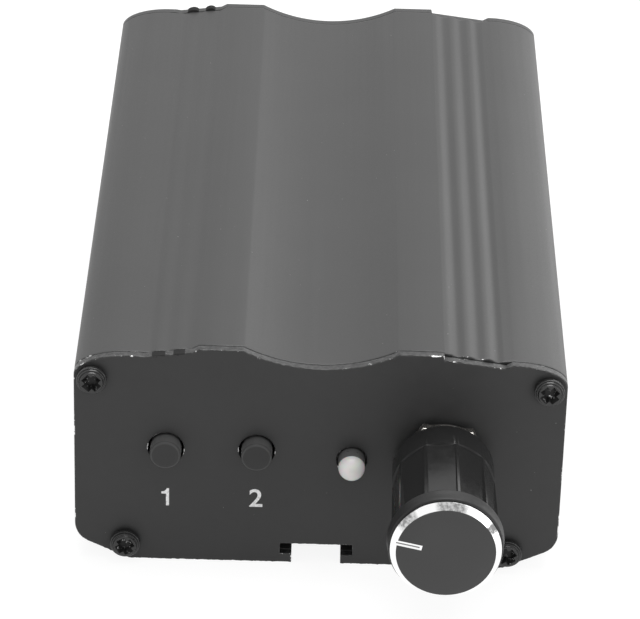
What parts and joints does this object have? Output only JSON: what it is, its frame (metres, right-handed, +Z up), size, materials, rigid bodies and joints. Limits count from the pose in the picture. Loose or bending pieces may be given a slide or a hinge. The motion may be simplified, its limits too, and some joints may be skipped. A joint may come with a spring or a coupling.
{
  "type": "morse code keyer",
  "caption": "Small desktop morse code keyer in a black extruded aluminium case, with push buttons, a lamp and a fluted speed knob in front and sockets behind.",
  "frame": {"origin": "middle of the bottom of the whole keyer's bounding box, on the surface that it stands on", "axes": "+X to the right seen from the front, +Y from the front plate to the rear plate, +Z up"},
  "size_m": [0.055, 0.1148, 0.0277],
  "materials": {
    "case_extrusion": "satin black anodised",
    "plate": "satin black anodised",
    "black_steel": "black oxide",
    "black_plastic": "semi-gloss black",
    "button_plastic": "glossy black",
    "bright_aluminium": "brushed grey face with a bright turned bevel",
    "nickel": "nickel plate",
    "brass": "plain",
    "milky_lens": "milky diffused",
    "board": "solder mask",
    "pin_metal": "tinned",
    "chip_plastic": "moulded",
    "can_metal": "plain",
    "capacitor_sleeve": "shrunk sleeve"
  },
  "bodies": {
    "case": {"case_extrusion": "case_extrusion", "front_plate": "plate", "rear_plate": "plate", "front_screw_upper_left": "black_steel", "front_screw_upper_right": "black_steel", "front_screw_lower_left": "black_steel", "front_screw_lower_right": "black_steel", "rear_screw_upper_left": "black_steel", "rear_screw_upper_right": "black_steel", "rear_screw_lower_left": "black_steel", "rear_screw_lower_right": "black_steel", "pot_housing": "black_plastic", "switch_1_base": "black_plastic", "switch_2_base": "black_plastic", "paddle_jack_body": "black_plastic", "output_jack_body": "black_plastic", "power_jack_body": "black_plastic", "pot_bushing": "nickel", "pot_washer": "nickel", "pot_nut": "nickel", "switch_1_cover": "nickel", "switch_2_cover": "nickel", "paddle_jack_bushing": "nickel", "output_jack_bushing": "nickel", "paddle_jack_nut": "nickel", "output_jack_nut": "nickel", "power_jack_pin": "nickel", "led_lamp": "milky_lens", "control_board": "board", "main_board": "board", "pot_terminal_1": "pin_metal", "pot_terminal_2": "pin_metal", "pot_terminal_3": "pin_metal", "led_anode_lead": "pin_metal", "led_cathode_lead": "pin_metal", "header_pin_1": "pin_metal", "header_pin_2": "pin_metal", "header_pin_3": "pin_metal", "header_pin_4": "pin_metal", "header_block": "chip_plastic", "chip_socket": "chip_plastic", "keyer_chip": "chip_plastic", "buzzer": "chip_plastic", "voltage_regulator": "chip_plastic", "keying_transistor": "chip_plastic", "switch_1_dome": "can_metal", "switch_2_dome": "can_metal", "crystal": "can_metal", "filter_capacitor": "capacitor_sleeve"},
    "knob": {"knob_body": "black_plastic", "knob_cap": "bright_aluminium", "pot_shaft": "can_metal", "pot_wiper": "brass"},
    "button_1": {"button_1": "button_plastic"},
    "button_2": {"button_2": "button_plastic"}
  },
  "joints": [
    {"name": "knob_turn", "type": "hinge", "parent": "case", "child": "knob", "pos_m": [0.01395, -0.0381, 0.0144], "axis": [0, -1, 0], "range_deg": [-227.5, 72.5]},
    {"name": "button_1_press", "type": "slide", "parent": "case", "child": "button_1", "axis": [0, 1, 0], "range_m": [0, 0.00025], "stiffness_N_per_m": 800},
    {"name": "button_2_press", "type": "slide", "parent": "case", "child": "button_2", "axis": [0, 1, 0], "range_m": [0, 0.00025], "stiffness_N_per_m": 800}
  ]
}
